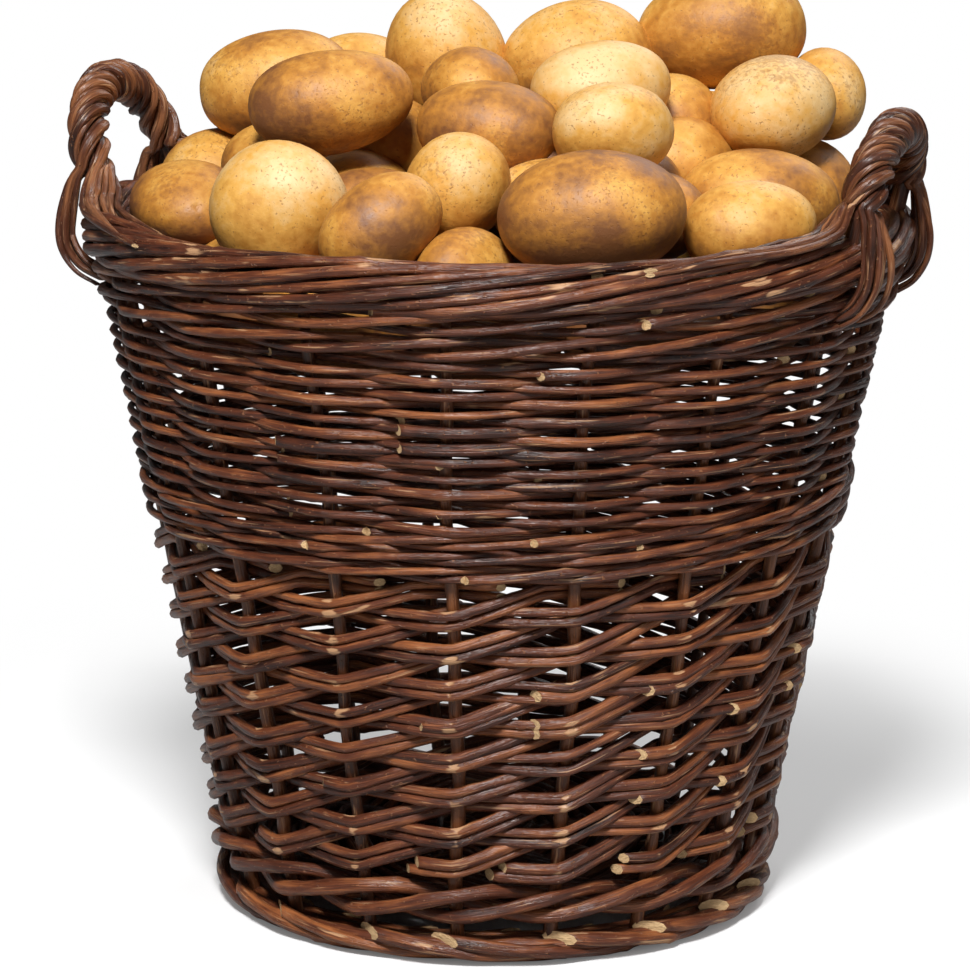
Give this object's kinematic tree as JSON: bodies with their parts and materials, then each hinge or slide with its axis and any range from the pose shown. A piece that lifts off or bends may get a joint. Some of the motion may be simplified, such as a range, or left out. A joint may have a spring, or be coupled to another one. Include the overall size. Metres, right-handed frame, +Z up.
{
  "type": "potato basket",
  "caption": "Round willow basket that widens up to a rolled border, with a rope-twisted handle on either side, and a heap of potatoes that lifts out.",
  "frame": {"origin": "middle of the foot, on the floor", "axes": "+Z up, the handles on +X and -X, and the side that the picture shows most of on -Y"},
  "size_m": [0.4687, 0.4504, 0.502],
  "materials": {
    "willow_bark": "satin brown bark",
    "stake_bark": "satin brown bark",
    "rope_bark": "satin brown bark",
    "potato_skin": "dull speckled skin"
  },
  "bodies": {
    "basket": {"stake_01": "stake_bark", "stake_02": "stake_bark", "stake_03": "stake_bark", "stake_04": "stake_bark", "stake_05": "stake_bark", "stake_06": "stake_bark", "stake_07": "stake_bark", "stake_08": "stake_bark", "stake_09": "stake_bark", "stake_10": "stake_bark", "stake_11": "stake_bark", "stake_12": "stake_bark", "stake_13": "stake_bark", "stake_14": "stake_bark", "stake_15": "stake_bark", "stake_16": "stake_bark", "stake_17": "stake_bark", "stake_18": "stake_bark", "right_handle_bow": "rope_bark", "left_handle_bow": "rope_bark", "right_handle_strand_1": "rope_bark", "right_handle_strand_2": "rope_bark", "right_handle_strand_3": "rope_bark", "right_handle_strand_4": "rope_bark", "left_handle_strand_1": "rope_bark", "left_handle_strand_2": "rope_bark", "left_handle_strand_3": "rope_bark", "left_handle_strand_4": "rope_bark", "foot_border": "willow_bark", "foot_wale": "willow_bark", "lower_weave": "willow_bark", "middle_wale": "willow_bark", "upper_weave": "willow_bark", "top_border": "willow_bark", "base_cross": "stake_bark", "base_weave": "willow_bark"},
    "potatoes": {"potato_bed": "potato_skin", "potato_01": "potato_skin", "potato_02": "potato_skin", "potato_03": "potato_skin", "potato_04": "potato_skin", "potato_05": "potato_skin", "potato_06": "potato_skin", "potato_07": "potato_skin", "potato_08": "potato_skin", "potato_09": "potato_skin", "potato_10": "potato_skin", "potato_11": "potato_skin", "potato_12": "potato_skin", "potato_13": "potato_skin", "potato_14": "potato_skin", "potato_15": "potato_skin", "potato_16": "potato_skin", "potato_17": "potato_skin", "potato_18": "potato_skin", "potato_19": "potato_skin", "potato_20": "potato_skin", "potato_21": "potato_skin", "potato_22": "potato_skin", "potato_23": "potato_skin"}
  },
  "joints": [
    {"name": "potatoes_lift", "type": "slide", "parent": "basket", "child": "potatoes", "axis": [0, 0, 1], "range_m": [0, 0.3]}
  ]
}
